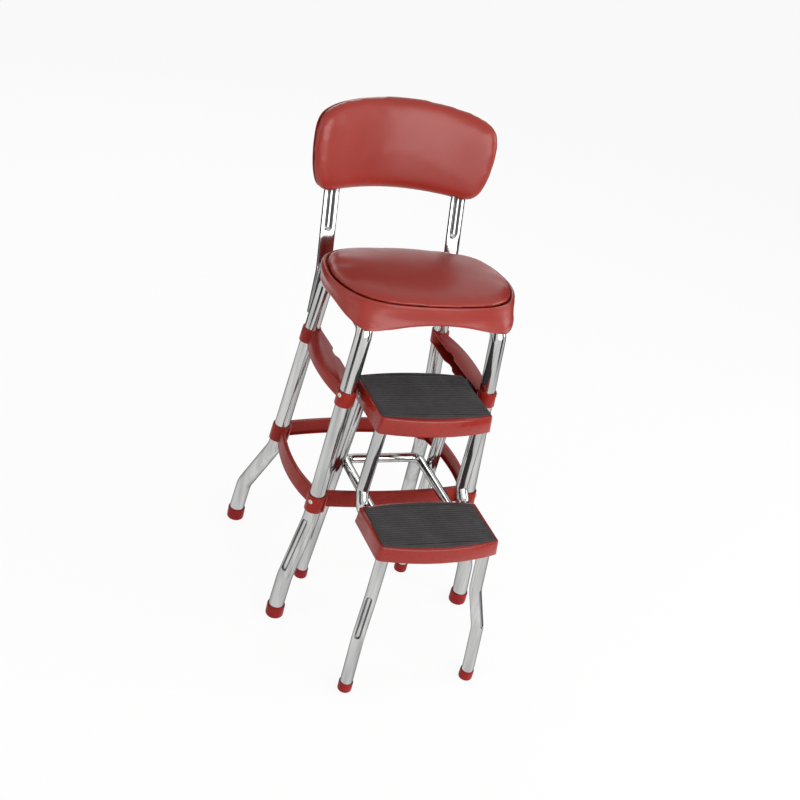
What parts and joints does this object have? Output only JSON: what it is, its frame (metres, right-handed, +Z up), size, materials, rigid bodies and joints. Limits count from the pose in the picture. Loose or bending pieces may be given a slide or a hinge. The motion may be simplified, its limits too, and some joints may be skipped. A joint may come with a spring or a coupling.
{
  "type": "counter stool",
  "caption": "Chromed counter stool with a round-cornered padded seat, a curved padded backrest and a step unit with ribbed treads that slides out in front.",
  "frame": {"origin": "on the floor under the middle of the object's box, with the step unit pulled out as in the picture", "axes": "+Z up, -Y the way the sitter faces and the steps come out, +X to the sitter's left, across the seat"},
  "size_m": [0.4092, 0.5746, 0.883],
  "materials": {
    "chrome": "polished",
    "red_steel": "semi-gloss",
    "red_vinyl": "satin",
    "red_cap": "satin",
    "black_rubber": "matt",
    "zinc": "satin",
    "nylon": "matt"
  },
  "bodies": {
    "chair_frame": {"back_post_left": "chrome", "back_post_right": "chrome", "backrest_cover": "red_vinyl", "backrest_pad": "red_vinyl", "chair_foot_front_left": "red_cap", "chair_foot_front_right": "red_cap", "chair_foot_rear_left": "red_cap", "chair_foot_rear_right": "red_cap", "chair_leg_front_left": "chrome", "chair_leg_front_right": "chrome", "chair_leg_rear_left": "chrome", "chair_leg_rear_right": "chrome", "clamp_screw_lower_front_left": "zinc", "clamp_screw_lower_front_right": "zinc", "clamp_screw_lower_rear_left": "zinc", "clamp_screw_lower_rear_right": "zinc", "clamp_screw_upper_front_left": "zinc", "clamp_screw_upper_front_right": "zinc", "clamp_screw_upper_rear_left": "zinc", "clamp_screw_upper_rear_right": "zinc", "lower_rail_front": "red_steel", "lower_rail_left": "red_steel", "lower_rail_rear": "red_steel", "lower_rail_right": "red_steel", "post_bolt_left": "zinc", "post_bolt_right": "zinc", "seat_bearer_left": "zinc", "seat_bearer_right": "zinc", "seat_cushion": "red_vinyl", "seat_pan": "red_vinyl", "upper_rail_left": "red_steel", "upper_rail_right": "red_steel"},
    "step_unit": {"guide_roller_left": "nylon", "guide_roller_right": "nylon", "lower_tray": "red_steel", "lower_tread": "black_rubber", "mid_tube_left": "chrome", "mid_tube_right": "chrome", "rivet_left": "zinc", "rivet_right": "zinc", "step_brace": "chrome", "step_foot_front_left": "red_cap", "step_foot_front_right": "red_cap", "step_foot_rear_left": "red_cap", "step_foot_rear_right": "red_cap", "step_leg_front_left": "chrome", "step_leg_front_right": "chrome", "step_leg_rear_left": "chrome", "step_leg_rear_right": "chrome", "upper_tray": "red_steel", "upper_tread": "black_rubber"}
  },
  "joints": [
    {"name": "step_slide", "type": "slide", "parent": "chair_frame", "child": "step_unit", "axis": [0, 1, 0], "range_m": [0, 0.14]}
  ]
}
